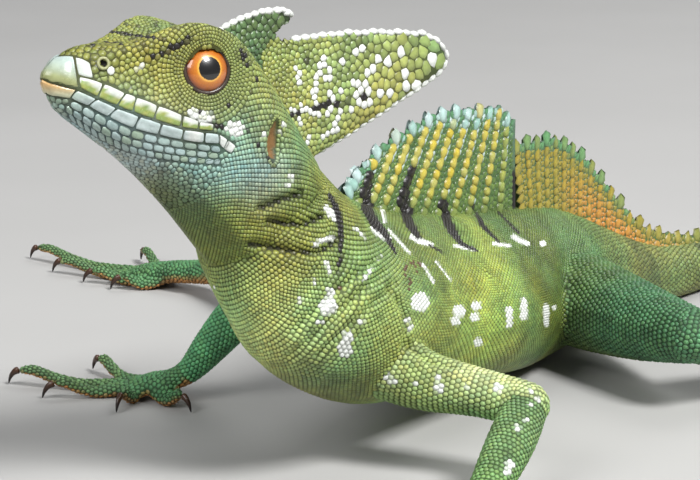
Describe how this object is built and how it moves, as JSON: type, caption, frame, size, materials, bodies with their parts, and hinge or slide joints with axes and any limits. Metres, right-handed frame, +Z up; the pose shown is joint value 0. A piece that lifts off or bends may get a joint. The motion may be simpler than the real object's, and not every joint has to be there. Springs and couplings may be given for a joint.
{
  "type": "green basilisk",
  "caption": "Life-size still model of a male green basilisk lizard, head raised, with a tall head crest, a rayed back crest and a long tail laid behind it.",
  "frame": {"origin": "the middle of the model's box, on the floor that it stands on", "axes": "-Y is the way that the trunk faces, +X is the animal's left, +Z is up; the tail lies back along +Y"},
  "size_m": [0.3036, 0.6408, 0.1008],
  "materials": {
    "skin_green": "fine dry scales, yellow green with white spots and black bars",
    "limb_skin": "fine dry scales, blue green",
    "crest_skin": "thin scaled skin over rays, yellow and green with pale scales",
    "eye": "wet and glossy, orange with a round black pupil",
    "claw": "smooth dark brown horn"
  },
  "bodies": {
    "root": {"head": "skin_green", "eye_left": "eye", "eye_right": "eye", "head_crest_front": "crest_skin", "head_crest_rear": "crest_skin", "neck": "skin_green", "torso": "skin_green", "dorsal_crest": "crest_skin", "tail_crest": "crest_skin", "tail_base": "skin_green", "tail_front": "skin_green", "tail_middle": "skin_green", "tail_rear": "skin_green", "upper_arm_left": "limb_skin", "forearm_left": "limb_skin", "hand_left": "limb_skin", "thigh_left": "limb_skin", "shin_left": "limb_skin", "foot_left": "limb_skin", "hand_claw_left_1": "claw", "hand_claw_left_2": "claw", "hand_claw_left_3": "claw", "hand_claw_left_4": "claw", "hand_claw_left_5": "claw", "foot_claw_left_1": "claw", "foot_claw_left_2": "claw", "foot_claw_left_3": "claw", "foot_claw_left_4": "claw", "foot_claw_left_5": "claw", "upper_arm_right": "limb_skin", "forearm_right": "limb_skin", "hand_right": "limb_skin", "thigh_right": "limb_skin", "shin_right": "limb_skin", "foot_right": "limb_skin", "hand_claw_right_1": "claw", "hand_claw_right_2": "claw", "hand_claw_right_3": "claw", "hand_claw_right_4": "claw", "hand_claw_right_5": "claw", "foot_claw_right_1": "claw", "foot_claw_right_2": "claw", "foot_claw_right_3": "claw", "foot_claw_right_4": "claw", "foot_claw_right_5": "claw"}
  },
  "joints": []
}
